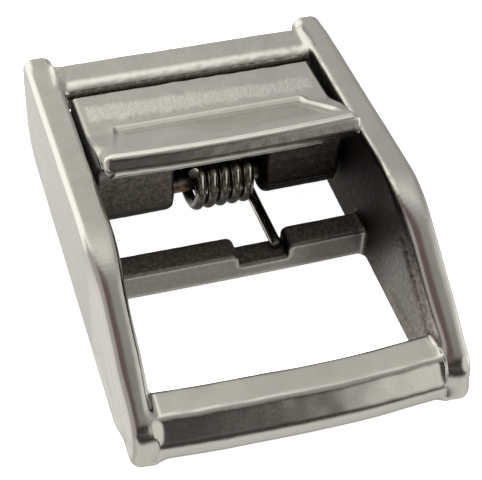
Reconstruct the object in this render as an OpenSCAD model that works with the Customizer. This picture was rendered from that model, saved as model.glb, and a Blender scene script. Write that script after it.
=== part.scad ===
// Spring-loaded cam buckle for flat webbing, cast steel.
// Millimetres. +Z up, the base flat lies at Z = 0. X runs across the strap.
// -Y is the front bar for the sewn loop, +Y the rear bar that the strap is clamped against.
// The origin is the centre of the buckle's outline on the base plane.

/* [Frame] */
// Clear width between the two side plates
inner_w = 27; // [25:0.5:32]
// Thickness of each side plate
plate_t = 3.25; // [2.9:0.05:3.8]
// Length of the side plates
frame_len = 47.2; // [46.8:0.1:49]
// Radius of the outer rims of the side plates
rim_r = 0.8; // [0.4:0.1:1]
// Radius of the inner rims of the side plates
rim_in_r = 0.5; // [0.2:0.1:0.6]
// Radius of the upright edges at both ends of the side plates
end_r = 1.4; // [1.2:0.1:1.4]
// Bow of the front bar towards the front
bow = 0.55; // [0.3:0.05:1]

/* [Lever] */
// Gap between the lever and each side plate
side_gap = 0.5; // [0.3:0.05:0.8]
// Radius of the hub barrels
hub_r = 2.6; // [2.3:0.1:2.8]
// Half width of the gap for the spring
spring_gap = 4.7; // [4.7:0.1:6]
// Depth of the bare panel in the thumb plate
panel_d = 0.3; // [0.1:0.05:0.4]

/* [Pin and spring] */
// Radius of the pivot pin
pin_r = 1.1; // [0.9:0.05:1.2]
// Wire thickness of the spring
wire_d = 1.15; // [0.9:0.05:1.2]
// Mean radius of the spring's coils
coil_r = 2.63; // [2.4:0.01:2.7]

/* [Hidden] */
$fn = 64;
in_x = inner_w / 2;
out_x = in_x + plate_t;
cam_x = in_x - side_gap;
// The profile is drawn from the front of the side plates; this moves it to the origin.
y_front = -7;
y_rear = y_front + frame_len;
mid_y = (y_front + y_rear) / 2;
// The round nose of a side plate, and its foot, which leans back from the nose's end.
nose_y = -3.35;
foot_y = -5.6;
// Slopes of the rear top edge and of the front top edge, and the heights of both lines at y = 0.
top_slope = -0.0577;
front_slope = 0.6;
top_z0 = 14.19;
front_z0 = 8.15;
top_a = atan(-top_slope);
front_a = atan(front_slope);
n_top = [sin(top_a), cos(top_a)];
n_front = [-sin(front_a), cos(front_a)];
bend_y = (top_z0 - front_z0) / (front_slope - top_slope);
bend_p = [bend_y, front_z0 + front_slope * bend_y];
bend_r = 6;
bend_c = bend_p - bend_r * (n_top + n_front) / (1 + n_top * n_front);
nose_r = 2.6;
nose_a = 173;
nose_c = [nose_y, front_z0 + front_slope * nose_y - nose_r / cos(front_a)];
foot_r = 0.8;
foot_c = [foot_y, foot_r];
heel_r = 3.5;
heel_c = [y_rear - heel_r, heel_r];
ear_r = 1.3;
ear_c = [y_rear - ear_r, top_z0 + top_slope * (y_rear - ear_r) - ear_r / cos(top_a)];
// Points on an arc about c from angle a0 to a1
function arc(c, r, a0, a1, n) = [
    for (k = [0 : n])
        c + r * [cos(a0 + (a1 - a0) * k / n), sin(a0 + (a1 - a0) * k / n)]
];
// The top edge of a side plate, from the rear to the front
top_edge = concat(
    arc(ear_c, ear_r, 0, 90 - top_a, 3),
    arc(bend_c, bend_r, 90 - top_a, 90 + front_a, 3),
    arc(nose_c, nose_r, 90 + front_a, nose_a, 4)
);
foot_edge = arc(foot_c, foot_r, nose_a, 270, 3);
// Pivot axis
piv = [24.3, 5.2];
// Rear end of the lever
cam_y = 34.6;
// Gap for the spring: its front, its rear where the coils are and beside them, and its top
gap_front = 18;
gap_rear = 28.2;
pocket_rear = 25.7;
gap_z = 9.9;
// Clearances of the pin in the frame and in the lever, and how deep the blind bore on the left is
seat_clear = 0.03;
bore_clear = 0.06;
blind = 2;
// Rear bar: radius of its plain corners, and their centres
bar_r = 0.6;
rear_bar_low = 8.2;
rear_bar_front = 35.9;
rear_bar_rear = 37.6;
rear_bar_top = 11.4;
// Its top bends down wide at first and then tight at the brow, above the face that leans back
crown_r = 3;
crown_c = [35.4, 9];
brow_r = 0.7;
brow_a = 118;
brow_c = crown_c + (crown_r - brow_r) * [cos(brow_a), sin(brow_a)];
lean_a = 211;
// Middle bar, as [y, z] of the lower front and the upper rear corner
middle_bar_p = [14, 0.2];
middle_bar_q = [16.95, 3.65];
// How far the bars reach into the side plates
root = 0.6;
// Section of the front bar
front_w = 5;
front_h = 5;
// Notch for the spring's leg in the middle bar
notch_x = -0.1;
notch_w = 5.1;
notch_z = 2.1;
// Spring: pitch, number of turns and place of the right leg
pitch = wire_d + 0.125;
turns = 5.5 - 18 / 360;
coil_x = 3.97;
// Left end of the coils, with some air beside them
coil_air = 0.15;
coils_left = coil_x - turns * pitch - wire_d / 2 - coil_air;
// How far the pin stays off the bottom of the blind bore, and off the right plate's outer face
pin_left = 0.15;
pin_right = 0.05;

// Turns a drawing in the (Y, Z) plane into a slab between x0 and x1.
module slab(x0, x1) {
    translate([x0, 0, 0])
        rotate([90, 0, 90])
            linear_extrude(height = x1 - x0)
                children();
}

// Rounded rectangle from p to q with corner radius r
module rounded(p, q, r) {
    translate([p[0] + r, p[1]])
        square([q[0] - p[0] - 2 * r, q[1] - p[1]]);
    translate([p[0], p[1] + r])
        square([q[0] - p[0], q[1] - p[1] - 2 * r]);
    for (u = [p[0] + r, q[0] - r], v = [p[1] + r, q[1] - r])
        translate([u, v])
            circle(r = r);
}

module place() {
    translate([0, -mid_y, 0])
        children();
}

// Outline of a side plate in (Y, Z)
module plate_outline() {
    polygon(concat(
        top_edge,
        foot_edge,
        arc(heel_c, heel_r, 270, 360, 4)
    ));
}

// What a rounded rim takes off along the edge from p to q, in (Y, Z), at x = edge;
// side is the direction the plate's face looks to.
module rim(p, q, edge, side, r) {
    over = 1;
    d = q - p;
    translate([edge, p[0], p[1]])
        rotate([atan2(d[1], d[0]) - 90, 0, 0])
            translate([0, 0, -over])
                linear_extrude(height = norm(d) + 2 * over)
                    difference() {
                        translate([side > 0 ? -r : -1, -r])
                            square([r + 1, r + 1]);
                        translate([-side * r, -r])
                            circle(r = r, $fn = 12);
                    }
}

// Everything the rims take off one side of a plate: along the top, and at both upright ends
module rims(edge, side, r) {
    for (k = [1 : len(top_edge) - 1])
        rim(top_edge[k - 1], top_edge[k], edge, side, r);
    rim([y_rear, 0], [y_rear, ear_c[1]], edge, side, end_r);
    rim(top_edge[len(top_edge) - 1], foot_edge[0], edge, side, end_r);
}

module side_plate() {
    difference() {
        slab(in_x, out_x)
            plate_outline();
        rims(out_x, 1, rim_r);
        rims(in_x, -1, rim_in_r);
    }
}

module rear_bar() {
    slab(-in_x - root, in_x + root)
        polygon(concat(
            arc([rear_bar_rear, rear_bar_low], bar_r, 270, 360, 3),
            arc([rear_bar_rear, rear_bar_top], bar_r, 0, 90, 3),
            arc(crown_c, crown_r, 90, brow_a, 3),
            arc(brow_c, brow_r, brow_a, lean_a, 4),
            arc([rear_bar_front, rear_bar_low], bar_r, lean_a, 270, 3)
        ));
}

module middle_bar() {
    difference() {
        slab(-in_x - root, in_x + root)
            rounded(middle_bar_p, middle_bar_q, 0.25);
        translate([notch_x, middle_bar_p[0] - 1, notch_z])
            cube([notch_w, 5, 4]);
    }
}

// Section of the front bar, measured from its rear face towards the front: a flat top, a
// leaning face, and a wide round below
module front_section() {
    rear_r = 0.5;
    low_r = 1.6;
    high_r = 1.2;
    edge_r = 0.8;
    face_a = 39;
    top_w = 2.75;
    edge_z = 2.64;
    polygon(concat(
        arc([rear_r, rear_r], rear_r, 180, 270, 3),
        arc([front_w - low_r, low_r], low_r, 270, 360, 4),
        arc([front_w - edge_r, edge_z], edge_r, 0, face_a, 2),
        arc([top_w, front_h - high_r], high_r, face_a, 90, 3),
        arc([rear_r, front_h - rear_r], rear_r, 90, 180, 3)
    ));
}

// The front bar is bowed: its section is swept about a far vertical axis.
module front_bar() {
    big = (in_x * in_x + bow * bow) / (2 * bow);
    half = asin((in_x + root) / big);
    translate([0, y_front + big, 0])
        rotate([0, 0, -90 - half])
            rotate_extrude(angle = 2 * half, $fn = 360)
                translate([big - front_w, 0])
                    front_section();
}

module frame() {
    color([0.7, 0.7, 0.68])
        place()
            difference() {
                union() {
                    side_plate();
                    mirror([1, 0, 0])
                        side_plate();
                    rear_bar();
                    middle_bar();
                    front_bar();
                }
                translate([-in_x - blind, piv[0], piv[1]])
                    rotate([0, 90, 0])
                        cylinder(r = pin_r + seat_clear, h = blind + inner_w + plate_t + 1);
            }
}

// Profile of the lever in (Y, Z): a thick round lip, a ramp, a flat top and the toothed nose
lip_c = [17.35, 15.45];
lip_r = 1.25;
ramp_a = 29.5;
lip_t = lip_c + lip_r * [sin(ramp_a), cos(ramp_a)];
// Foot of the ramp, where the flat top turns up, and the rear end of the flat top
ramp_p = [lip_t[0] + (lip_t[1] - 12.05) / tan(ramp_a), 12.05];
nose_p = [33.1, 11.45];
fillet_r = 4;
ramp_dir = [-cos(ramp_a), sin(ramp_a)];
ramp_out = [sin(ramp_a), cos(ramp_a)];
// The lip's section, measured up the ramp and out from it: a small upper round, a flat face and
// a wide lower round
lip_front = 0.7;
lip_high_r = 0.45;
lip_low_r = 1.05;
lip_pts = concat(
    arc([lip_front - lip_high_r, lip_r - lip_high_r], lip_high_r, 0, 90, 3),
    [[-1, lip_r], [-1.2, 0]],
    arc([lip_front - lip_low_r, lip_low_r - lip_r], lip_low_r, 270, 360, 4)
);
top_dir = (nose_p - ramp_p) / norm(nose_p - ramp_p);
fillet_h = acos(ramp_dir * top_dir) / 2;
fillet_t = fillet_r / tan(fillet_h);
fillet_up = (ramp_dir + top_dir) / norm(ramp_dir + top_dir);
// Ridges of the nose, as tips and grooves on falling radii about the pivot
tooth_n = 5;
tooth_a = 6;
tooth_top_a = 32;
tooth_r = 10.7;
tooth_fall = 0.03;
tooth_deep = 0.3;
function tooth_at(r, a) = piv + r * [cos(a), sin(a)];
teeth = [
    for (k = [0 : tooth_n - 1], groove = [0, 1])
        tooth_at(
            tooth_r - tooth_fall * k * k - tooth_deep * groove,
            tooth_top_a - tooth_a * k - groove
        )
];

module cam_outline() {
    front_y = piv[0] - hub_r + 0.01;
    polygon(concat(
        [
            [front_y, piv[1]],
            [front_y, 8.2],
            [21, 11],
            [19.6, 12.9],
            [17.7, 14.3],
            lip_c - [0.2, 0],
            lip_t,
            ramp_p,
            nose_p
        ],
        teeth,
        [
            [32.8, 5.3],
            [29.5, 4.6],
            [piv[0] + 0.4, piv[1] - hub_r + 0.05],
            piv
        ]
    ));
}

module cam_fillet() {
    difference() {
        polygon([
            ramp_p - fillet_up,
            ramp_p + fillet_t * ramp_dir,
            ramp_p + fillet_t * top_dir
        ]);
        translate(ramp_p + fillet_r / sin(fillet_h) * fillet_up)
            circle(r = fillet_r);
    }
}

module hubs() {
    translate([-cam_x, piv[0], piv[1]])
        rotate([0, 90, 0])
            cylinder(r = hub_r, h = 2 * cam_x);
}

module lip() {
    slab(-cam_x, cam_x)
        polygon([for (p = lip_pts) lip_c + p[0] * ramp_dir + p[1] * ramp_out]);
}

// The bare panel, a trapezoid on the ramp, measured up the ramp from its foot
panel_low = 0.5;
panel_high = 6.6;
panel_low_x = 9.5;
panel_high_x = 10.7;

module panel_shape() {
    polygon([
        [-panel_low_x, panel_low],
        [panel_low_x, panel_low],
        [panel_high_x, panel_high],
        [-panel_high_x, panel_high]
    ]);
}

module on_ramp(h0, h1) {
    translate([0, ramp_p[0], ramp_p[1]])
        rotate([180 - ramp_a, 0, 0])
            translate([0, 0, -h1])
                linear_extrude(height = h1 - h0)
                    children();
}

module cam() {
    color([0.68, 0.68, 0.66])
        place()
            difference() {
                intersection() {
                    union() {
                        slab(-cam_x, cam_x)
                            cam_outline();
                        slab(-cam_x, cam_x)
                            cam_fillet();
                        hubs();
                        lip();
                    }
                    translate([0, 0, -1])
                        linear_extrude(height = 20)
                            rounded([-cam_x, lip_c[0] - lip_r], [cam_x, cam_y], 0.9);
                }
                translate([-spring_gap, gap_front, 0])
                    cube([2 * spring_gap, pocket_rear - gap_front, gap_z]);
                translate([coils_left, gap_front, 0])
                    cube([spring_gap - coils_left, gap_rear - gap_front, gap_z]);
                translate([-in_x, piv[0], piv[1]])
                    rotate([0, 90, 0])
                        cylinder(r = pin_r + bore_clear, h = inner_w);
                on_ramp(-panel_d, 2)
                    panel_shape();
            }
}

module pin() {
    color([0.5, 0.5, 0.5])
        place()
            translate([-in_x - blind + pin_left, piv[0], piv[1]])
                rotate([0, 90, 0])
                    cylinder(r = pin_r, h = blind - pin_left + inner_w + plate_t - pin_right);
}

// Centre line of the spring's wire: right leg, coils, left leg
leg_z = notch_z + wire_d / 2 + 0.03;
turn_n = 24;
coil_n = floor(turns * turn_n);
function coil_at(a) = [
    coil_x - pitch * a / 360,
    piv[0] + coil_r * sin(a),
    piv[1] - coil_r * cos(a)
];
end_a = turns * 360;
end_p = coil_at(end_a);
leg_len = 4;
spring_path = concat(
    [[coil_x + 0.25, 15.3, leg_z], [coil_x + 0.12, 20, leg_z - 0.05]],
    [for (k = [0 : coil_n]) coil_at(end_a * k / coil_n)],
    [end_p + leg_len * [0, cos(end_a), sin(end_a)]]
);
spring_n = len(spring_path);
wire_n = 12;
function unit(v) = v / norm(v);
function along(k) = unit(spring_path[min(k + 1, spring_n - 1)] - spring_path[max(k - 1, 0)]);
// Two directions across the wire; the first one is as close to X as it can be.
function across(k) = unit([1, 0, 0] - along(k)[0] * along(k));
function beside(k) = cross(along(k), across(k));
wire_pts = [
    for (k = [0 : spring_n - 1], j = [0 : wire_n - 1])
        spring_path[k]
        + wire_d / 2 * (cos(360 * j / wire_n) * across(k) + sin(360 * j / wire_n) * beside(k))
];
wire_sides = [
    for (k = [0 : spring_n - 2], j = [0 : wire_n - 1])
        [
            k * wire_n + j,
            (k + 1) * wire_n + j,
            (k + 1) * wire_n + (j + 1) % wire_n,
            k * wire_n + (j + 1) % wire_n
        ]
];
wire_ends = [
    [for (j = [0 : wire_n - 1]) j],
    [for (j = [0 : wire_n - 1]) (spring_n - 1) * wire_n + wire_n - 1 - j]
];

module spring() {
    color([0.62, 0.62, 0.6])
        place()
            polyhedron(points = wire_pts, faces = concat(wire_sides, wire_ends), convexity = 8);
}

frame();
cam();
pin();
spring();
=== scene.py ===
import bpy
import numpy as np
from mathutils import Matrix, Vector


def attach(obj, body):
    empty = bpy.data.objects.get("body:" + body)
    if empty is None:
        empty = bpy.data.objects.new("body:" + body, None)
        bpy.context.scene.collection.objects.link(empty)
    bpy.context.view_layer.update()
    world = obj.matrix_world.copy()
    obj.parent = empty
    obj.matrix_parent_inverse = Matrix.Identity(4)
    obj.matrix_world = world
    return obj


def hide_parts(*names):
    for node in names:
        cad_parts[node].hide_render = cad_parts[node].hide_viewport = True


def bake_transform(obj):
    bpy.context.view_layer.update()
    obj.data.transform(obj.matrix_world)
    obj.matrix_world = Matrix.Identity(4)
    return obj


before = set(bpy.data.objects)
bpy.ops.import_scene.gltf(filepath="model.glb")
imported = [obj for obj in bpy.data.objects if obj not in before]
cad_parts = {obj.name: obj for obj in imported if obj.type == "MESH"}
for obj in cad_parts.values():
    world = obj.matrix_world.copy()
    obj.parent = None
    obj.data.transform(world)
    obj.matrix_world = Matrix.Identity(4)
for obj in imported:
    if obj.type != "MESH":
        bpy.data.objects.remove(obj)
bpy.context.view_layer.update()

# The shapes below are drawn as signed distances, negative inside, in millimetres, with Y measured
# as in the CAD's profile drawing. Y_MID moves that profile to the row frame.
MM = 0.001
Y_MID = 16.6

# Side plates
IN_X, OUT_X = 13.5, 16.75
PLATE_X, PLATE_H = (IN_X + OUT_X) / 2, (OUT_X - IN_X) / 2
NOSE_Y, FOOT_Y, REAR_Y = -3.60, -5.6, 40.8
TOP_Z, TOP_SLOPE = 14.19, -0.0577
FRONT_Z, FRONT_SLOPE = 8.15, 0.6
# Front bar
BAR_Y, BAR_W, BOW = -7.0, 5.0, 0.55
# Pivot, hubs and pin
PIVOT_Y, PIVOT_Z = 24.3, 5.2
HUB_R, PIN_R = 2.6, 1.1
# Lever
CAM_X, CAM_REAR, SPRING_GAP = 13.0, 34.6, 4.7
LIP_Y, LIP_Z, LIP_R = 17.35, 15.45, 1.25
RAMP = np.radians(29.5)
RAMP_Z = 12.05
# Spring
WIRE_R, COIL_R, COIL_X, PITCH, TURNS = 0.575, 2.63, 3.97, 1.275, 5.45
END_ROUND = 0.06
LEG_FLOOR = 2.1


# ---- Distances ---------------------------------------------------------------------------------

def smooth(low, high, v):
    """0 below low, 1 above high and a soft step between them; high may be the smaller one."""
    t = np.clip((v - low) / (high - low), 0, 1)
    return t * t * (3 - 2 * t)


def join(a, b, k):
    """Both shapes, with a fillet of about k where they meet."""
    h = np.clip(0.5 + 0.5 * (b - a) / k, 0, 1)
    return b + (a - b) * h - k * h * (1 - h)


def cut(a, b, k):
    """The first shape without the second one, with an edge rounded by about k."""
    return -join(-a, b, k)


def meet(a, b, r):
    """Where two shapes overlap, with an edge of radius r."""
    u, v = a + r, b + r
    return np.minimum(np.maximum(u, v), 0) + np.hypot(np.maximum(u, 0), np.maximum(v, 0)) - r


def box2(u, v, low, high, r):
    """Rounded rectangle from low to high."""
    du = np.abs(u - (low[0] + high[0]) / 2) - (high[0] - low[0]) / 2
    dv = np.abs(v - (low[1] + high[1]) / 2) - (high[1] - low[1]) / 2
    return meet(du, dv, r)


def polygon(points, u, v):
    """Exact signed distance to a closed outline."""
    nearest, inside = None, None
    for (au, av), (bu, bv) in zip(points, np.roll(points, -1, axis=0)):
        eu, ev = bu - au, bv - av
        wu, wv = u - au, v - av
        t = np.clip((wu * eu + wv * ev) / (eu * eu + ev * ev), 0, 1)
        d = (wu - t * eu) ** 2 + (wv - t * ev) ** 2
        nearest = d if nearest is None else np.minimum(nearest, d)
        if av != bv:
            crossed = ((av > v) != (bv > v)) & (u < eu * (v - av) / ev + au)
            inside = crossed if inside is None else inside ^ crossed
    return np.where(inside, -1, 1) * np.sqrt(nearest)


def arc(centre, r, a0, a1, n=10):
    """Points on an arc about centre, angles in degrees."""
    a = np.radians(np.linspace(a0, a1, n + 1))
    return np.stack([centre[0] + r * np.cos(a), centre[1] + r * np.sin(a)], axis=1)


def waves(x, y, z, size, seed, count=14):
    """A soft uneven field of about -1 to 1, whose bumps are about size wide."""
    rng = np.random.default_rng(seed)
    total = 0
    for _ in range(count):
        d = rng.normal(size=3)
        k = 2 * np.pi * rng.uniform(0.6, 1.5) / size * d / np.linalg.norm(d)
        total = total + np.sin(k[0] * x + k[1] * y + k[2] * z + rng.uniform(0, 2 * np.pi))
    return total / np.sqrt(count)


# ---- Shape of the frame ------------------------------------------------------------------------

def plate_points():
    """Outline of a side plate in (Y, Z)."""
    top_a, front_a = np.arctan(-TOP_SLOPE), np.arctan(FRONT_SLOPE)
    n_top = np.array([np.sin(top_a), np.cos(top_a)])
    n_front = np.array([-np.sin(front_a), np.cos(front_a)])
    bend_y = (TOP_Z - FRONT_Z) / (FRONT_SLOPE - TOP_SLOPE)
    bend = np.array([bend_y, FRONT_Z + FRONT_SLOPE * bend_y])
    bend_r, nose_r, foot_r, heel_r, ear_r = 14, 2.6, 0.8, 3.5, 1.5
    bend_c = bend - bend_r * (n_top + n_front) / (1 + n_top @ n_front)
    nose_c = [NOSE_Y, FRONT_Z + FRONT_SLOPE * NOSE_Y - nose_r / np.cos(front_a)]
    ear_c = [REAR_Y - ear_r, TOP_Z + TOP_SLOPE * (REAR_Y - ear_r) - ear_r / np.cos(top_a)]
    top_d, front_d = np.degrees(top_a), np.degrees(front_a)
    return np.concatenate([
        arc(ear_c, ear_r, 0, 90 - top_d),
        arc(bend_c, bend_r, 90 - top_d, 90 + front_d, 16),
        arc(nose_c, nose_r, 90 + front_d, 173),
        arc((FOOT_Y, foot_r), foot_r, 173, 270, 6),
        arc((REAR_Y - heel_r, heel_r), heel_r, 270, 360),
    ])


PLATE = plate_points()
BAR_SECTION = np.concatenate([
    arc((0.5, 0.5), 0.5, 180, 270, 4),
    arc((3.4, 1.6), 1.6, 270, 348, 8),
    arc((3.48, 2.25), 1.6, -6, 39, 8),
    arc((2.75, 3.8), 1.2, 39, 90, 6),
    arc((0.5, 4.5), 0.5, 90, 180, 4),
])
# The slopes' round: its radius, and how far its ridge lies to the right of each plate's middle
SLOPE_R, CROWN_SHIFT = 1.95, 0.2
# How much further out and forward the right plate's slope and foot reach, as in the photo
RIGHT_WIDER, RIGHT_FORWARD = 0.16, 0.35
# Fillets where the bars meet the plates; the front bar's grows from its top to its front
REAR_FILLET, MIDDLE_FILLET, FRONT_FILLET, FRONT_FILLET_MORE = 0.8, 0.9, 0.5, 0.7
# The middle bar: its rear side, how far that bows and half its depth
MIDDLE_REAR, MIDDLE_BOW, MIDDLE_HALF = 16.95, 0.12, 1.475
# The middle bar seen from the front in (X, Z), with the notch for the spring's leg
MIDDLE_FACE = np.concatenate([
    arc((14.2, 0.5), 0.3, 270, 360, 3), arc((14.2, 3.35), 0.3, 0, 90, 3),
    arc((5.75, 2.9), 0.75, 90, 180, 6), arc((4.7, 2.4), 0.3, 0, -90, 4),
    arc((0.25, 2.4), 0.3, -90, -180, 4), arc((-1.05, 2.65), 1.0, 0, 90, 8),
    arc((-14.2, 3.35), 0.3, 90, 180, 3), arc((-14.2, 0.5), 0.3, 180, 270, 3),
])
REAR_SECTION = np.concatenate([
    arc((37.6, 8.2), 0.6, 270, 360, 4),
    arc((37.6, 11.4), 0.6, 0, 90, 4),
    arc((35.4, 9.0), 3.0, 90, 118, 8),
    arc((34.32, 11.03), 0.7, 118, 211, 8),
    arc((35.9, 8.2), 0.6, 211, 270, 4),
])


def side_plates(x, y, z):
    """Both plates: flat bands on top, half-round slopes in front, the right foot a little larger."""
    ax = np.abs(x)
    slope = smooth(12, 5, y)
    right = smooth(-1, 1, x)
    outline = polygon(PLATE, y + RIGHT_FORWARD * right * smooth(2, -4, y), z)
    wide = RIGHT_WIDER * right * slope
    across = ax - PLATE_X - wide
    half = PLATE_H + wide
    # The half round of the slopes, which flattens towards the ground except on the feet
    deep = np.minimum(outline + SLOPE_R, 0)
    aside = across + CROWN_SHIFT * (1 - 2 * right)
    crowned = np.hypot(np.maximum(outline + SLOPE_R, 0), aside) - SLOPE_R + deep
    foot = smooth(0.0, -3.5, y)
    crown = slope * (0.4 * foot + (1 - 0.4 * foot) * smooth(0.2, 2.4, z))
    outline = outline + (crowned - outline) * crown
    # The rims' radius: larger on slopes, ears and feet, small along the ground
    ear = smooth(36.5, 39.5, y)
    low = smooth(2.2, 0.4, z) * smooth(-4.0, 0.0, y) * smooth(39.0, 36.0, y)
    outer_r = 0.8 + 0.3 * slope + 0.35 * ear
    inner_r = 0.6 + 0.3 * slope + 0.5 * ear
    r = np.where(across > 0, outer_r, inner_r) + 0.25 * foot
    r = r + (0.45 - r) * low
    return meet(outline, np.abs(across) - half, r)


def middle_bar(x, y, z):
    """The notched bar, a little hollow behind."""
    rear = MIDDLE_REAR - MIDDLE_BOW * (1 - (x / IN_X) ** 2)
    face = polygon(MIDDLE_FACE, x, z)
    return meet(face, np.abs(y - rear + MIDDLE_HALF) - MIDDLE_HALF, 0.3)


def front_bar(x, y, z):
    """The bowed bar; its right half lies a little further forward."""
    big = (IN_X ** 2 + BOW ** 2) / (2 * BOW)
    forward = 0.22 * smooth(-6, 8, x)
    s = np.hypot(x, y + forward - BAR_Y - big) - (big - BAR_W)
    return polygon(BAR_SECTION, s, z)


def bore(x, y, z, r):
    """The hole for the pin: right through the right plate, blind in the left one."""
    return np.maximum(np.hypot(y - PIVOT_Y, z - PIVOT_Z) - r, -15.5 - x)


def frame_solid(x, y, z):
    plates = side_plates(x, y, z)
    reach = np.abs(x) - (IN_X + 0.3)
    rear = np.maximum(polygon(REAR_SECTION, y, z), reach)
    middle = np.maximum(middle_bar(x, y, z), reach)
    front = np.maximum(front_bar(x, y, z), reach)
    whole = join(plates, rear, REAR_FILLET)
    whole = join(whole, middle, MIDDLE_FILLET)
    return join(whole, front, FRONT_FILLET + FRONT_FILLET_MORE * smooth(-3.0, -5.5, y))


def frame_shape(x, y, z):
    return cut(frame_solid(x, y, z), bore(x, y, z, PIN_R + 0.03), 0.12)


def frame_skin(x, y, z):
    """How far the casting swells from the plain shape."""
    ax = np.abs(x)
    soft = 0.020 * waves(x, y, z, 9.0, 3) + 0.006 * waves(x, y, z, 4.0, 7)
    soft = soft + 0.003 * waves(x, y, z, 2.0, 4)
    # Rough cast skin inside the plates, and the ragged front edge of the rear bar
    inside = smooth(14.0, 13.55, ax) * smooth(9.0, 12.0, y)
    rough = 0.006 * waves(x, y, z, 1.1, 5) * inside
    rear = smooth(14.2, 13.2, ax) * smooth(33.3, 33.6, y) * smooth(35.0, 34.2, y)
    edge = 0.02 * waves(x, 0 * y, 0.4 * z, 1.4, 6) * rear
    on_ground = smooth(0.0, 0.8, z)
    return (soft + rough + edge - 0.035) * on_ground


# ---- Shape of the lever ------------------------------------------------------------------------

RAMP_UP = np.array([-np.cos(RAMP), np.sin(RAMP)])
RAMP_OUT = np.array([np.sin(RAMP), np.cos(RAMP)])
LIP_TOP = np.array([LIP_Y, LIP_Z]) + LIP_R * RAMP_OUT
RAMP_FOOT = np.array([LIP_TOP[0] + (LIP_TOP[1] - RAMP_Z) / np.tan(RAMP), RAMP_Z])
NOSE_TOP = np.array([32.8, 11.47])
FILLET_R = 4.0
# The clamping teeth: how many, degrees from one to the next and of the first, radius about the pivot,
# how the radius falls from tooth to tooth, and how deep the grooves are
TOOTH_COUNT, TOOTH_STEP, TOOTH_FIRST = 5, 6.0, 32
TOOTH_R, TOOTH_FALL, TOOTH_DEEP = 10.7, 0.03, 0.3
# The pocket round the spring: its front, its rear, the deeper part's left side and rear, and its roof
POCKET_FRONT, POCKET_REAR, DEEP_LEFT, DEEP_REAR, POCKET_TOP = 17, 25.7, -3.45, 28.2, 9.9
# The lip's section, measured up the ramp and out from it: a wide lower round, its face and a small
# upper round
LIP = np.concatenate([
    arc((-0.15, -0.15), 1.05, 215, 270, 5), arc((-0.60, 0.0), 1.30, 280, 352, 10),
    arc((-0.05, 0.50), 0.75, 0, 90, 8),
])


def lever_points():
    """Outline of the lever in (Y, Z), without the hubs' rounds."""
    back = (NOSE_TOP - RAMP_FOOT) / np.linalg.norm(NOSE_TOP - RAMP_FOOT)
    half = np.arccos(RAMP_UP @ back) / 2
    middle = RAMP_FOOT + FILLET_R / np.sin(half) * (RAMP_UP + back) / np.linalg.norm(RAMP_UP + back)
    a0 = np.degrees(np.arctan2(*-RAMP_OUT[::-1]))
    a1 = np.degrees(np.arctan2(-back[0], back[1]))
    fillet = arc(middle, FILLET_R, a0, a1 if a1 < 0 else a1 - 180, 8)
    teeth = []
    for k in range(TOOTH_COUNT):
        for groove in (0, 1):
            r = TOOTH_R - TOOTH_FALL * k * k - TOOTH_DEEP * groove
            a = np.radians(TOOTH_FIRST - TOOTH_STEP * k - groove)
            teeth.append((PIVOT_Y + r * np.cos(a), PIVOT_Z + r * np.sin(a)))
    lip = [
        (LIP_Y + a * RAMP_UP[0] + b * RAMP_OUT[0], LIP_Z + a * RAMP_UP[1] + b * RAMP_OUT[1])
        for a, b in LIP
    ]
    hub_front = PIVOT_Y - HUB_R + 0.01
    under_lip = [(hub_front, PIVOT_Z), (hub_front, 8.2), (21, 11), (19.6, 12.9)]
    underside = [
        (32.8, 5.3), (29.5, 4.6), (PIVOT_Y + 0.4, PIVOT_Z - HUB_R + 0.05), (PIVOT_Y, PIVOT_Z),
    ]
    return np.array([*under_lip, *lip, *map(tuple, fillet), tuple(NOSE_TOP), *teeth, *underside])


LEVER = lever_points()
PANEL = np.array([(-9.6, -0.1), (9.6, -0.1), (11.0, 6.6), (11.2, 10), (-11.2, 10), (-11.0, 6.6)])


def on_ramp(y, z):
    """How far a point lies up the lip's ramp, and how far out from it."""
    dy, dz = y - RAMP_FOOT[0], z - RAMP_FOOT[1]
    return dy * RAMP_UP[0] + dz * RAMP_UP[1], dy * RAMP_OUT[0] + dz * RAMP_OUT[1]


def bell(v, centre, width):
    """1 at the centre, falling softly to both sides."""
    return np.exp(-((v - centre) / width) ** 2)


def panel(x, y, z):
    """How far the bare panel's outline stands up and its floor lies back."""
    up, out = on_ramp(y, z)
    edge = polygon(PANEL, x, up)
    faint = 1 - 0.75 * smooth(0.5, 2.0, up) * smooth(0, -5, x)
    fade = smooth(8.2, 5.6, up)
    bead = 0.20 * bell(edge, 0.55, 0.28)
    groove = 0.12 * bell(edge, 0.0, 0.26)
    floor = 0.12 * smooth(-0.5, -1.2, edge)
    return (bead - groove - floor) * faint * fade * smooth(-1.2, -0.5, out)


def panel_lines(x, y, z):
    """1 on the bead's bright side, 1 in the dark grooves inside it, and 1 on the panel's floor."""
    up, _ = on_ramp(y, z)
    edge = polygon(PANEL, x, up)
    where = smooth(7.0, 5.6, up) * smooth(10.5, 11.2, z) * (1 - smooth(0.5, 2.0, up) * smooth(0, -5, x))
    dark = bell(edge, -0.08, 0.17) + 0.6 * bell(edge, -1.25, 0.3)
    return bell(edge, 0.36, 0.20) * where, dark * where, smooth(-0.3, -0.9, edge) * where


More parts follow.
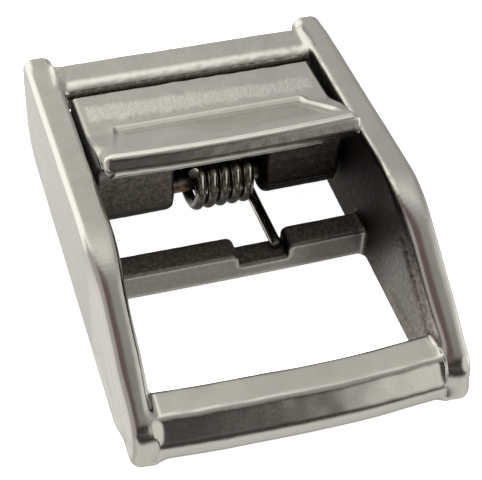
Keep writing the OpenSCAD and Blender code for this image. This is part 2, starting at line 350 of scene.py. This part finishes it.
def lever_solid(x, y, z):
    bow = 0.45 * (1 - (x / CAM_X) ** 2) * smooth(12.5, 15.0, z) * smooth(24, 18.2, y)
    profile = polygon(LEVER, y + bow, z)
    hub = np.hypot(y - PIVOT_Y, z - PIVOT_Z) - HUB_R
    profile = join(profile, hub, 0.6)
    high = smooth(13.8, 15.0, z)
    body = meet(profile, np.abs(x) - CAM_X, 0.45 + 0.6 * high)
    body = meet(body, y - CAM_REAR, 0.3)
    pocket = np.minimum(
        box2(x, y, (-SPRING_GAP, POCKET_FRONT), (SPRING_GAP, POCKET_REAR), 0.6),
        box2(x, y, (DEEP_LEFT, POCKET_FRONT), (SPRING_GAP, DEEP_REAR), 0.5),
    )
    pocket = meet(pocket, z - POCKET_TOP, 0.5)
    return cut(body, pocket, 0.9) - panel(x, y, z)


def lever_shape(x, y, z):
    return cut(lever_solid(x, y, z), np.hypot(y - PIVOT_Y, z - PIVOT_Z) - (PIN_R + 0.06), 0.1)


def rough_strip(x, y, z):
    """1 on the rough-cast strip of the lever's flat top."""
    ragged = 0.20 * waves(x, y, 0 * z, 2.2, 11) + 0.16 * waves(x, y, 0 * z, 0.8, 12, 20)
    front = 28.0 - 0.012 * (x + 12) + ragged
    rear = 30.9 - 0.05 * (x + 12) + ragged
    strip = smooth(front - 0.2, front + 0.5, y) * smooth(rear + 0.5, rear - 0.5, y)
    return strip * smooth(12.3, 11.6, np.abs(x)) * smooth(10.5, 11.2, z)


def lever_skin(x, y, z):
    """How far the casting swells from the plain shape."""
    soft = 0.015 * waves(x, y, z, 8.0, 13) + 0.003 * waves(x, y, z, 2.5, 14)
    top = smooth(10.0, 11.5, z)
    rough = 0.010 * waves(x, y, z, 1.0, 15) * (1 - top)
    strip = rough_strip(x, y, z) * (0.007 * waves(x, y, z, 0.42, 16, 30) + 0.015)
    back = 0.06 * waves(x, 0 * y, z, 2.2, 17) * smooth(32.0, 33.5, y) * smooth(10.0, 11.0, z)
    lip = 0.012 * waves(x, y, z, 1.6, 18) * smooth(16.8, 15.6, z) * smooth(14.0, 14.6, z)
    return soft + rough + strip + back + lip - 0.03


# ---- Meshes ------------------------------------------------------------------------------------

def surface(shape, low, high, step):
    """Points and four-sided faces where shape is 0, with one point in each grid cell it crosses."""
    sides = [np.arange(a - 1.5 * step, b + 2.5 * step, step) for a, b in zip(low, high)]
    x, y, z = sides[0][:, None, None], sides[1][None, :, None], sides[2][None, None, :]
    f = np.broadcast_to(shape(x, y, z), [len(s) for s in sides]).astype(np.float32)
    inside = f < 0
    cells = np.array(f.shape) - 1
    strides = np.array([cells[1] * cells[2], cells[2], 1])
    total, count, faces = np.zeros((cells.prod(), 3)), np.zeros(cells.prod()), []
    for axis in range(3):
        first = [slice(None)] * 3
        second = [slice(None)] * 3
        first[axis], second[axis] = slice(0, -1), slice(1, None)
        a, b = f[tuple(first)], f[tuple(second)]
        hit = np.argwhere(inside[tuple(first)] != inside[tuple(second)])
        fa, fb = a[tuple(hit.T)], b[tuple(hit.T)]
        place = hit.astype(float)
        place[:, axis] += fa / (fa - fb)
        u, v = [k for k in range(3) if k != axis]
        around = []
        for du, dv in ((-1, -1), (0, -1), (0, 0), (-1, 0)):
            cell = hit.copy()
            cell[:, u] += du
            cell[:, v] += dv
            index = cell @ strides
            around.append(index)
            np.add.at(total, index, place)
            np.add.at(count, index, 1)
        quad = np.stack(around, axis=1)
        turned = (fa < 0) == (axis == 1)
        quad[turned] = quad[turned][:, ::-1]
        faces.append(quad)
    used = np.flatnonzero(count)
    number = np.full(len(count), -1)
    number[used] = np.arange(len(used))
    points = total[used] / count[used, None] * step + [s[0] for s in sides]
    return points, number[np.concatenate(faces)]


def slopes(shape, p, eps):
    """Gradient of shape at the points."""
    steps = np.eye(3) * eps
    return np.stack([
        (shape(*(p + s).T) - shape(*(p - s).T)) / (2 * eps) for s in steps
    ], axis=1)


MOST_MOVE = 0.6


def settle(shape, p, step, rounds=3):
    """Moves the points onto the surface, but never further than MOST_MOVE grid steps."""
    start = p.copy()
    for _ in range(rounds):
        g = slopes(shape, p, 0.02)
        p = p - shape(*p.T)[:, None] * g / np.maximum((g * g).sum(1), 0.25)[:, None]
        move = p - start
        far = np.linalg.norm(move, axis=1) / (MOST_MOVE * step)
        p = start + move / np.maximum(far, 1)[:, None]
    return p


def hollowness(shape, p, n, reach):
    """1 in a tight inner corner, 0 on a flat or a rounded edge."""
    return np.clip(1 - shape(*(p + n * reach).T) / reach, 0, 1)


def sharpness(shape, p, n, reach):
    """1 on a tight outer edge, 0 on a flat or in a corner."""
    return np.clip(1 + shape(*(p - n * reach).T) / reach, 0, 1)


def add_mesh(name, points, faces, fields, normals=None):
    """A smooth mesh object from points in millimetres, with one value a point for each field."""
    place = (points - [0, Y_MID, 0]) * MM
    mesh = bpy.data.meshes.new(name)
    mesh.from_pydata(place.tolist(), [], faces)
    mesh.update()
    for field, values in fields.items():
        values = values.astype(np.float32)
        mesh.attributes.new(field, "FLOAT", "POINT").data.foreach_set("value", values)
    mesh.shade_smooth()
    if normals is not None:
        mesh.normals_split_custom_set_from_vertices(normals.tolist())
    obj = bpy.data.objects.new(name, mesh)
    bpy.context.scene.collection.objects.link(obj)
    return obj


def cast_piece(name, shape, solid, skin, low, high, step, masks):
    """The mesh of shape, swollen by skin, between low and high. It takes its normals from the shape
    itself. The masks for the material follow solid, which has no bore and no skin."""
    def whole(x, y, z):
        return shape(x, y, z) - skin(x, y, z)

    points, faces = surface(shape, low, high, step)
    points = settle(whole, points, step)
    points[:, 2] = np.maximum(points[:, 2], 0)
    g = slopes(whole, points, 0.05)
    n = g / np.linalg.norm(g, axis=1)[:, None]
    plain = slopes(solid, points, 0.2)
    plain = plain / np.linalg.norm(plain, axis=1)[:, None]
    fields = {
        "crevice": hollowness(solid, points, plain, 1.2),
        "edge": sharpness(solid, points, plain, 0.8),
        **{key: mask(points, plain) for key, mask in masks.items()},
    }
    return add_mesh(name, points, faces.tolist(), fields, n)


# ---- Materials ---------------------------------------------------------------------------------

def times(k, colour):
    return tuple(k * c for c in colour)


class Nodes:
    """Short calls for the nodes of one material."""

    def __init__(self, name):
        self.material = bpy.data.materials.new(name)
        self.material.use_nodes = True
        self.tree = self.material.node_tree
        self.tree.nodes.clear()
        self.place = self.make("ShaderNodeTexCoord").outputs["Object"]

    def make(self, kind, **settings):
        node = self.tree.nodes.new(kind)
        for key, value in settings.items():
            setattr(node, key, value)
        return node

    def put(self, socket, value):
        if isinstance(value, bpy.types.NodeSocket):
            self.tree.links.new(value, socket)
        elif isinstance(value, tuple) and socket.type == "RGBA":
            socket.default_value = (*value, 1)
        else:
            socket.default_value = value

    def math(self, operation, a, b):
        node = self.make("ShaderNodeMath", operation=operation)
        self.put(node.inputs[0], a)
        self.put(node.inputs[1], b)
        return node.outputs[0]

    def remap(self, value, low, high, to_low=0.0, to_high=1.0):
        node = self.make("ShaderNodeMapRange", interpolation_type="SMOOTHSTEP")
        for socket, v in zip(node.inputs[:5], (value, low, high, to_low, to_high)):
            self.put(socket, v)
        return node.outputs[0]

    def mix(self, share, a, b):
        node = self.make("ShaderNodeMix", data_type="RGBA")
        self.put(node.inputs[0], share)
        self.put(node.inputs[6], a)
        self.put(node.inputs[7], b)
        return node.outputs[2]

    def noise(self, size, detail=3.0, stretch=(1, 1, 1), rough=0.55):
        """Noise whose bumps are about size millimetres wide."""
        mapping = self.make("ShaderNodeMapping")
        self.put(mapping.inputs["Vector"], self.place)
        mapping.inputs["Scale"].default_value = tuple(1 / (size * MM * s) for s in stretch)
        node = self.make("ShaderNodeTexNoise")
        self.put(node.inputs["Vector"], mapping.outputs[0])
        self.put(node.inputs["Scale"], 1.0)
        self.put(node.inputs["Detail"], detail)
        self.put(node.inputs["Roughness"], rough)
        return node.outputs["Fac"]

    def field(self, name):
        return self.make("ShaderNodeAttribute", attribute_name=name).outputs["Fac"]

    def bump(self, height, strength, distance):
        node = self.make("ShaderNodeBump")
        self.put(node.inputs["Strength"], strength)
        self.put(node.inputs["Distance"], distance * MM)
        self.put(node.inputs["Height"], height)
        return node.outputs[0]

    def finish(self, **values):
        shader = self.make("ShaderNodeBsdfPrincipled")
        for key, value in values.items():
            self.put(shader.inputs[key.replace("_", " ")], value)
        out = self.make("ShaderNodeOutputMaterial")
        self.tree.links.new(shader.outputs[0], out.inputs[0])
        return self.material


def cast_steel(name, light, shade, skin):
    """Cast steel: bright where it was polished, satin and lightly mottled where it was only tumbled,
    dark and rough where the cast skin was left. Painted shade darkens tight inner corners and the
    shaded places inside, and lighter flecks on the rough strip are painted glints."""
    m = Nodes(name)
    patches = m.noise(3.0, 4.0)
    grain = m.noise(0.22, 3.0)
    fine = m.noise(0.09, 2.0)
    pits = m.remap(m.noise(0.35, 2.0), 0.30, 0.22)
    scratches = m.remap(m.noise(0.10, 2.0, stretch=(12, 1, 3)), 0.62, 0.74)
    raw = m.field("raw")
    strip = m.field("strip")
    crevice = m.remap(m.field("crevice"), 0.25, 0.8)
    bright = m.remap(m.field("edge"), 0.15, 0.6)

    polish = m.math("MAXIMUM", m.field("polish"), bright)
    satin = m.mix(m.remap(patches, 0.35, 0.65), shade, times(1.08, shade))
    # Painted glints: lighter flecks on the rough strip
    glint_flecks = m.math("MULTIPLY", strip, m.remap(fine, 0.38, 0.62))
    satin_with_glints = m.mix(glint_flecks, satin, times(1.42, shade))
    clean = m.mix(polish, satin_with_glints, light)
    clean = m.mix(m.math("MULTIPLY", pits, 0.35), clean, skin)
    dark = m.mix(m.remap(m.noise(0.45, 4.0, rough=0.6), 0.35, 0.68), skin, times(1.9, skin))
    # Painted shade in tight inner corners, less on polished parts; with the real cast skin it turns the
    # colour dark
    corner_shade = m.math("MULTIPLY", crevice, m.math("SUBTRACT", 0.75, m.math("MULTIPLY", polish, 0.75)))
    skin_and_corner_shade = m.math("MAXIMUM", raw, corner_shade)
    colour = m.mix(skin_and_corner_shade, clean, dark)
    # Painted shade: the colour goes near black inside the plates, on the middle bar, below the hubs and
    # in the pocket
    colour = m.mix(m.field("painted_shade"), colour, PAINTED_SHADE)

    rough = m.remap(grain, 0.3, 0.7, 0.46, 0.54)
    rough = m.math("SUBTRACT", rough, m.math("MULTIPLY", polish, 0.31))
    rough = m.math("ADD", rough, m.math("MULTIPLY", raw, 0.18))
    rough = m.math("SUBTRACT", rough, m.math("MULTIPLY", strip, 0.15))
    rough = m.math("ADD", rough, m.math("MULTIPLY", crevice, 0.10))

    height = m.math("ADD", m.math("MULTIPLY", grain, 0.55), m.math("MULTIPLY", fine, 0.25))
    # Heights are centred, so that they make no step where the grain begins
    height = m.math("SUBTRACT", height, 0.40)
    lumps = m.math("SUBTRACT", m.noise(0.6, 3.0, rough=0.6), 0.5)
    lumps = m.math("MULTIPLY", lumps, m.math("MULTIPLY", raw, 3.5))
    height = m.math("ADD", height, lumps)
    height = m.math("SUBTRACT", height, m.math("MULTIPLY", pits, 0.5))
    height = m.math("SUBTRACT", height, m.math("MULTIPLY", scratches, 0.15))
    least = m.math("SUBTRACT", 0.36, m.math("MULTIPLY", polish, 0.28))
    coarse = m.math("MAXIMUM", m.math("MAXIMUM", raw, strip), least)
    normal = m.bump(m.math("MULTIPLY", height, coarse), 0.5, 0.05)
    return m.finish(Base_Color=colour, Metallic=1.0, Roughness=rough, Normal=normal)


def wire_steel(name, light, dark):
    """Bright drawn wire with fine lines along it, darkened by painted shade between the coils and
    below.
    """
    m = Nodes(name)
    lines = m.noise(0.12, 3.0, stretch=(1, 8, 8))
    patches = m.noise(1.2, 4.0)
    wire_shade = m.field("wire_shade")
    colour = m.mix(m.remap(patches, 0.42, 0.7), light, times(0.72, light))
    # Painted shade: the wire goes dark inside the coils and on its lower side
    colour = m.mix(m.math("MULTIPLY", wire_shade, 0.96), colour, dark)
    rough = m.math("ADD", m.remap(lines, 0.3, 0.7, 0.10, 0.18), m.math("MULTIPLY", wire_shade, 0.25))
    return m.finish(Base_Color=colour, Metallic=1.0, Roughness=rough, Normal=m.bump(lines, 0.25, 0.03))


def pin_steel(name, light, rust):
    """Dull drawn steel with brown stains and rings left by turning."""
    m = Nodes(name)
    rings = m.noise(0.10, 2.0, stretch=(1, 9, 9))
    stains = m.noise(1.1, 5.0)
    colour = m.mix(m.remap(stains, 0.35, 0.6), light, rust)
    rough = m.remap(rings, 0.3, 0.7, 0.28, 0.45)
    return m.finish(Base_Color=colour, Metallic=1.0, Roughness=rough, Normal=m.bump(rings, 0.4, 0.04))


# ---- Pieces ------------------------------------------------------------------------------------

# Colours of the castings: polished, tumbled, cast skin; then of the wire and its painted shade, of the
# pin and its rust, and last the near-black painted shade on the castings
STEEL, SATIN, SKIN = (0.66, 0.645, 0.60), (0.42, 0.412, 0.383), (0.20, 0.178, 0.155)
WIRE, WIRE_SHADE = (0.64, 0.62, 0.55), (0.030, 0.024, 0.018)
PIN, RUST = (0.42, 0.38, 0.34), (0.14, 0.075, 0.045)
# Near-black colour of the painted shade laid inside the castings
PAINTED_SHADE = (0.014, 0.0112, 0.0092)
# The masks below take points p and the plain shape's normals n.


def inner_face(p, n):
    """1 on the plates' inner faces. The left one leaves out its rim, which shows."""
    x = p[:, 0]
    right = smooth(-1, 1, x)
    inward = -n[:, 0] * np.sign(x)
    edge = 13.7 + 0.5 * right
    near = smooth(edge, edge - 0.2 - 0.15 * right, np.abs(x))
    return near * smooth(0.9 - 0.4 * right, 0.98 - 0.2 * right, inward)


def on_middle_bar(p):
    x, y, _ = p.T
    return smooth(13.4, 13.0, np.abs(x)) * smooth(12.5, 13.5, y) * smooth(18.0, 17.3, y)


def lip_face(p, n):
    return smooth(-0.62, -0.85, n[:, 1]) * smooth(14.3, 14.8, p[:, 2])


def raw_frame(p, n):
    """Where the frame keeps its dark cast skin: inside the plates and on the bars' hidden sides."""
    x, y, z = p.T
    ax = np.abs(x)
    inner = inner_face(p, n) * smooth(-5.5, -2.5, y) * smooth(37, 33, y)
    middle = on_middle_bar(p) * (0.35 + 0.65 * smooth(-0.75, -0.3, n[:, 1]))
    under = smooth(-0.5, -0.95, n[:, 2]) * smooth(14.0, 13.0, ax)
    rear = smooth(13.6, 13.2, ax) * smooth(33.2, 33.6, y) * smooth(-0.72, -0.9, n[:, 1])
    rear = rear * smooth(36, 35, y)
    return np.clip(inner + middle + under + rear, 0, 1)


def painted_shade_frame(p, n):
    """Painted shade on the frame: inside the plates beside the lever, more further back and higher up,
    and on the middle bar, mostly on its right front.
    """
    x, y, z = p.T
    inner = inner_face(p, n) * smooth(37, 34, y)
    inner = inner * (0.42 * smooth(-4, 4, y) + 0.55 * smooth(6.0, 19.0, y + 0.7 * z))
    dark = 0.06 * smooth(0.5, 0.9, n[:, 2]) + 0.45 * smooth(4, 9, x) * smooth(-0.5, -0.9, n[:, 1])
    return np.clip(inner + on_middle_bar(p) * dark, 0, 1)


def raw_lever(p, n):
    """Where the lever keeps its dark cast skin: hubs and underside, and a little of it on the lip's
    face and the panel's floor. In the panel's grooves the same dark colour is painted shade."""
    x, y, z = p.T
    low = smooth(11.0, 9.6, z)
    under = smooth(-0.75, -0.95, n[:, 2]) * smooth(14.6, 13.8, z)
    face = lip_face(p, n) * smooth(-9, 5, x)
    _, grooves, floor = panel_lines(x, y, z)
    # The grooves' share is painted shade in the panel's grooves
    return np.clip(low + under + 0.38 * face + 0.22 * grooves + 0.30 * floor, 0, 1)


def painted_shade_lever(p, n):
    """Painted shade on the lever: below and right on the hubs and in the pocket; the lip's face is
    darker towards the right.
    """
    x, y, z = p.T
    below = smooth(7.2, 4.2, z) * smooth(0.5, -0.4, n[:, 2])
    inside = smooth(5.3, 5.0, np.abs(x)) * smooth(10.6, 9.9, z)
    right = smooth(2, 6, x) * smooth(11.0, 9.6, z)
    face = lip_face(p, n) * (0.1 + 0.35 * smooth(0, 12, x))
    return np.clip(0.9 * below + 0.8 * inside + 0.6 * right + face, 0, 1)


def polish_frame(p, n):
    """The slopes and ends of the plates, all rims and the fronts of both bars were polished bright."""
    x, y, z = p.T
    ax, inward = np.abs(x), -n[:, 0] * np.sign(x)
    plate = smooth(13.0, 13.3, ax)
    between = smooth(13.8, 13.2, ax)
    ramps = plate * smooth(13.0, 6.0, y)
    rims = plate * smooth(0.10, 0.35, np.abs(n[:, 0])) * smooth(0.97, 0.8, np.abs(inward))
    outside = 0.62 * smooth(-0.8, -0.97, inward)
    front = smooth(0.05, 0.22, -n[:, 1])
    bars = between * (smooth(0.0, -2.0, y) + smooth(11.2, 11.5, z)) * front
    top = between * smooth(0.0, -2.0, y) * (0.22 + 0.25 * smooth(0, 12, x))
    return np.clip(np.maximum.reduce([ramps, rims, outside, bars, top]), 0, 1)


def polish_lever(p, n):
    """The lip's round front was polished bright, and so was the bead round the panel."""
    x, y, z = p.T
    lip = smooth(0.47, 0.2, n[:, 1]) * smooth(13.4, 14.2, z)
    return np.maximum(lip, 0.75 * panel_lines(x, y, z)[0])


def strip_frame(p, n):
    """The frame has no rough strip."""
    return np.zeros(len(p))


def strip_lever(p, n):
    return rough_strip(*p.T)


def build_frame(step):
    low, high = (-OUT_X, BAR_Y, 0), (OUT_X, REAR_Y, 13.9)
    masks = {"raw": raw_frame, "polish": polish_frame, "painted_shade": painted_shade_frame, "strip": strip_frame}
    obj = cast_piece("frame_casting", frame_shape, frame_solid, frame_skin, low, high, step, masks)
    obj.data.materials.append(cast_steel("frame_steel", STEEL, SATIN, SKIN))
    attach(obj, "frame")
    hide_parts("frame")


def build_lever(step):
    low, high = (-CAM_X, 15.7, 2.6), (CAM_X, CAM_REAR, 16.8)
    masks = {"raw": raw_lever, "polish": polish_lever, "painted_shade": painted_shade_lever, "strip": strip_lever}
    obj = cast_piece("lever_casting", lever_shape, lever_solid, lever_skin, low, high, step, masks)
    obj.data.materials.append(cast_steel("lever_steel", STEEL, SATIN, SKIN))
    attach(obj, "lever")
    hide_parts("cam")


def turned(rings, sides):
    """Points and faces turned about the pivot, from rings of (x, radius), closed at both ends."""
    a = np.linspace(0, 2 * np.pi, sides, endpoint=False)
    points = [
        (x, PIVOT_Y + r * np.cos(t), PIVOT_Z + r * np.sin(t))
        for x, r in rings for t in a
    ]
    faces = []
    for k in range(len(rings) - 1):
        for j in range(sides):
            i = (j + 1) % sides
            faces.append((k * sides + j, k * sides + i, (k + 1) * sides + i, (k + 1) * sides + j))
    first, last = len(points), len(points) + 1
    points += [(rings[0][0], PIVOT_Y, PIVOT_Z), (rings[-1][0], PIVOT_Y, PIVOT_Z)]
    top = (len(rings) - 1) * sides
    for j in range(sides):
        i = (j + 1) % sides
        faces.append((first, i, j))
        faces.append((last, top + j, top + i))
    return np.array(points), faces


def build_pin():
    """From the blind hole in the left plate to the right plate's outer face, with rounded ends."""
    x0, x1 = -15.35, 16.66
    edge = 0.22
    wear = 0.006
    bends = np.linspace(0, np.pi / 2, 6)
    end = [(edge * (1 - np.sin(t)), PIN_R - edge * (1 - np.cos(np.pi / 2 - t))) for t in bends]
    rings = [(x0, 0.4)] + [(x0 + back, r) for back, r in end]
    rings += [(x, PIN_R - wear * np.sin(2.3 * x) ** 2) for x in np.linspace(x0 + 0.6, x1 - 0.6, 60)]
    rings += [(x1 - back, r) for back, r in end[::-1]]
    rings += [(x1 + 0.02, 0.5)]
    points, faces = turned(rings, 48)
    obj = add_mesh("pivot_pin", points, faces, {})
    obj.data.materials.append(pin_steel("pin_steel", PIN, RUST))
    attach(obj, "frame")
    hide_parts("pin")


def spring_path():
    """Centre line of the wire: right leg, coils, left leg."""
    leg_z = LEG_FLOOR + WIRE_R + 0.03
    end = TURNS * 2 * np.pi
    turn = np.linspace(0, end, int(TURNS * 40))
    uneven = 0.02 * np.sin(1.7 * turn + 0.4)
    coils = np.stack([
        COIL_X - PITCH * turn / (2 * np.pi) + uneven * np.minimum(turn, 1),
        PIVOT_Y + COIL_R * np.sin(turn),
        PIVOT_Z - COIL_R * np.cos(turn),
    ], axis=1)
    t = np.linspace(0, 1, 22)[:-1, None]
    right_end = np.array([COIL_X + 0.25, 15.3, leg_z])
    right_mid = np.array([COIL_X + 0.12, 20, leg_z - 0.05])
    leg = (1 - t) ** 2 * right_end + 2 * t * (1 - t) * right_mid + t ** 2 * coils[0]
    away = np.array([0, np.cos(end), np.sin(end)])
    tail = coils[-1] + np.linspace(0, 4, 14)[1:, None] * away
    return np.concatenate([leg, coils, tail])


def build_spring():
    path = spring_path()
    sides = 20
    ahead = np.gradient(path, axis=0)
    ahead /= np.linalg.norm(ahead, axis=1)[:, None]
    side = np.array([1.0, 0, 0]) - ahead[:, :1] * ahead
    side /= np.linalg.norm(side, axis=1)[:, None]
    other = np.cross(ahead, side)
    a = np.linspace(0, 2 * np.pi, sides, endpoint=False)
    around = side[:, None] * np.cos(a)[None, :, None] + other[:, None] * np.sin(a)[None, :, None]

    # Each cut end is closed by two narrower rings and a flat face.
    def end_ring(at, way, k):
        r = WIRE_R - END_ROUND * (1 - np.sqrt(1 - k * k))
        return path[at] + way * ahead[at] * END_ROUND * k + around[at] * r

    first = [end_ring(0, -1, k) for k in (1.0, 0.6)]
    last = [end_ring(-1, 1, k) for k in (0.6, 1.0)]
    rings = np.concatenate([np.array(first), path[:, None] + around * WIRE_R, np.array(last)])
    count = len(rings)
    points = rings.reshape(-1, 3)
    k, j = np.meshgrid(np.arange(count - 1), np.arange(sides), indexing="ij")
    i = (j + 1) % sides
    faces = np.stack([k * sides + j, (k + 1) * sides + j, (k + 1) * sides + i, k * sides + i], axis=-1)
    faces = faces.reshape(-1, 4).tolist()
    faces.append(list(range(sides)))
    faces.append([(count - 1) * sides + s for s in reversed(range(sides))])

    # Painted shade inside the coils and on the wire's lower side; the right leg is darker too
    inside = COIL_R - np.hypot(points[:, 1] - PIVOT_Y, points[:, 2] - PIVOT_Z)
    out = np.concatenate([around[:1], around[:1], around, around[-1:], around[-1:]]).reshape(-1, 3)
    wire_shade = np.maximum(smooth(-0.30, 0.20, inside), smooth(0.35, -0.15, out[:, 2]))
    wire_shade = np.clip(wire_shade + 0.55 * smooth(21.0, 18.0, points[:, 1]), 0, 1)
    obj = add_mesh("spring_wire", points, faces, {"wire_shade": wire_shade})
    obj.data.set_sharp_from_angle(angle=0.7)
    obj.data.materials.append(wire_steel("wire_steel", WIRE, WIRE_SHADE))
    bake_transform(obj)
    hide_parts("spring")


# ---- Camera, floor and light -------------------------------------------------------------------

def build_camera():
    """The photo's camera, fitted to the buckle's edges."""
    right = Vector((0.95539, -0.29301, 0.03715))
    down = Vector((-0.18317, -0.68646, -0.70372))
    ahead = Vector((0.23170, 0.66552, -0.70950))
    focal_px, width_px = 1413.23, 482
    turn = Matrix((right, -down, -ahead)).transposed()
    data = bpy.data.cameras.new("camera")
    data.sensor_width = 36
    data.lens = focal_px / width_px * data.sensor_width
    data.clip_start, data.clip_end = 0.005, 50
    camera = bpy.data.objects.new("camera", data)
    camera.matrix_world = Matrix.Translation((-0.03267, -0.09613, 0.10547)) @ turn.to_4x4()
    bpy.context.scene.collection.objects.link(camera)
    bpy.context.scene.camera = camera


def build_floor():
    """A plain white floor. The metal does not mirror it, as the studio holds a white board below."""
    size = 6.0
    corners = [(-size, -size, 0), (size, -size, 0), (size, size, 0), (-size, size, 0)]
    mesh = bpy.data.meshes.new("floor")
    mesh.from_pydata(corners, [], [(0, 1, 2, 3)])
    floor = bpy.data.objects.new("floor", mesh)
    bpy.context.scene.collection.objects.link(floor)
    m = Nodes("floor_white")
    shade = m.noise(400, 2.0)
    mesh.materials.append(m.finish(
        Base_Color=m.mix(shade, (0.90, 0.90, 0.90), (0.92, 0.92, 0.92)), Roughness=0.9,
        Emission_Color=(1.0, 1.0, 1.0), Emission_Strength=0.92,
    ))
    floor.visible_glossy = False
    floor.location.z = -0.00002


# Brightness of the studio round the X axis: from the rear horizon (0) over the top (90) to the front
# horizon (180) and round below (270). A wide window behind, a dark camera side, a white board below.
STUDIO = [
    (5, 1.15), (20, 1.30), (45, 1.32), (66, 1.30), (80, 1.10), (90, 0.55), (100, 0.37), (113, 0.35),
    (125, 0.14), (135, 0.045), (148, 0.055), (158, 0.08), (166, 0.13), (174, 0.09), (179.9, 0.05),
    (180, 0.05), (192, 0.06), (200, 0.12), (208, 0.42), (216, 0.66), (226, 0.77), (242, 0.74),
    (256, 0.63), (270, 0.46), (288, 0.42), (304, 0.64), (310, 0.76), (320, 0.95), (335, 0.92),
    (350, 0.98),
]
# Further soft boxes, each over the ones before: direction, the cosines where it starts and is full,
# and colour
BOXES = [
    ((0.75, -0.60, 0.28), 0.78, 0.93, (0.85, 0.84, 0.80)),
    ((-0.95, 0.20, 0.05), 0.62, 0.86, (0.48, 0.45, 0.46)),
    ((-0.75, 0.50, -0.45), 0.78, 0.95, (0.95, 0.92, 0.92)),
    ((0.97, 0.16, 0.00), 0.50, 1.00, (0.78, 0.77, 0.75)),
    ((0.97, 0.16, 0.00), 0.86, 0.975, (1.32, 1.32, 1.28)),
    ((-0.57, -0.29, 0.77), 0.87, 0.985, (0.16, 0.115, 0.11)),
    ((-0.62, 0.75, 0.18), 0.80, 0.95, (1.45, 1.45, 1.40)),
    ((0.67, 0.73, -0.12), 0.82, 0.95, (0.52, 0.51, 0.49)),
    ((0.75, 0.50, 0.43), 0.70, 0.97, (0.40, 0.395, 0.38)),
]


def build_studio():
    """The light that the metal mirrors. The camera itself sees plain white behind the floor."""
    world = bpy.data.worlds.new("studio")
    world.use_nodes = True
    bpy.context.scene.world = world
    tree = world.node_tree
    tree.nodes.clear()

    def make(kind, **settings):
        node = tree.nodes.new(kind)
        for key, value in settings.items():
            setattr(node, key, value)
        return node

    def link(a, b):
        tree.links.new(a, b)

    direction = make("ShaderNodeTexCoord").outputs["Generated"]
    parts = make("ShaderNodeSeparateXYZ")
    link(direction, parts.inputs[0])
    angle = make("ShaderNodeMath", operation="ARCTAN2")
    link(parts.outputs["Z"], angle.inputs[0])
    link(parts.outputs["Y"], angle.inputs[1])
    share = make("ShaderNodeMapRange")
    link(angle.outputs[0], share.inputs[0])
    for socket, value in zip(share.inputs[1:5], (-np.pi, np.pi, 0.0, 1.0)):
        socket.default_value = value
    ramp = make("ShaderNodeValToRGB")
    link(share.outputs[0], ramp.inputs[0])
    stops = sorted((((a + 180) % 360) / 360, v) for a, v in STUDIO)
    ring = ramp.color_ramp
    ring.interpolation = "LINEAR"
    ring.elements.remove(ring.elements[1])
    ring.elements[0].position = 0.0
    # The dimmer it is, the browner
    for at, v in stops:
        element = ring.elements[0] if at == 0 else ring.elements.new(at)
        warm = max(0.0, 1 - v / 0.3)
        element.color = (v, v * (0.985 - 0.16 * warm), v * (0.945 - 0.16 * warm), 1)
    colour = ramp.outputs[0]
    for axis, start, full, tint in BOXES:
        dot = make("ShaderNodeVectorMath", operation="DOT_PRODUCT")
        link(direction, dot.inputs[0])
        dot.inputs[1].default_value = Vector(axis).normalized()
        step = make("ShaderNodeMapRange", interpolation_type="SMOOTHSTEP")
        link(dot.outputs["Value"], step.inputs[0])
        for socket, value in zip(step.inputs[1:5], (start, full, 0.0, 1.0)):
            socket.default_value = value
        mix = make("ShaderNodeMix", data_type="RGBA")
        link(step.outputs[0], mix.inputs[0])
        link(colour, mix.inputs[6])
        mix.inputs[7].default_value = (*tint, 1)
        colour = mix.outputs[2]
    shown = make("ShaderNodeBackground")
    link(colour, shown.inputs[0])
    plain = make("ShaderNodeBackground")
    plain.inputs[0].default_value = (1.0, 1.0, 1.0, 1)
    path = make("ShaderNodeLightPath")
    either = make("ShaderNodeMixShader")
    link(path.outputs["Is Camera Ray"], either.inputs[0])
    link(shown.outputs[0], either.inputs[1])
    link(plain.outputs[0], either.inputs[2])
    link(either.outputs[0], make("ShaderNodeOutputWorld").inputs[0])


def build_lamp():
    """A wide lamp above that lights the floor only: the metal shows the studio's light instead."""
    light = bpy.data.lights.new("ceiling", "AREA")
    light.shape = "DISK"
    light.size = 1.2
    light.energy = 9.0
    lamp = bpy.data.objects.new("ceiling", light)
    lamp.location = (0.1, 0.1, 0.8)
    lamp.visible_glossy = False
    lamp.visible_camera = False
    bpy.context.scene.collection.objects.link(lamp)


frame_step, lever_step = ((0.25, 0.165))
build_camera()
build_frame(frame_step)
build_lever(lever_step)
build_pin()
build_spring()
build_floor()
build_studio()
build_lamp()
bpy.context.scene.view_settings.view_transform = "Standard"
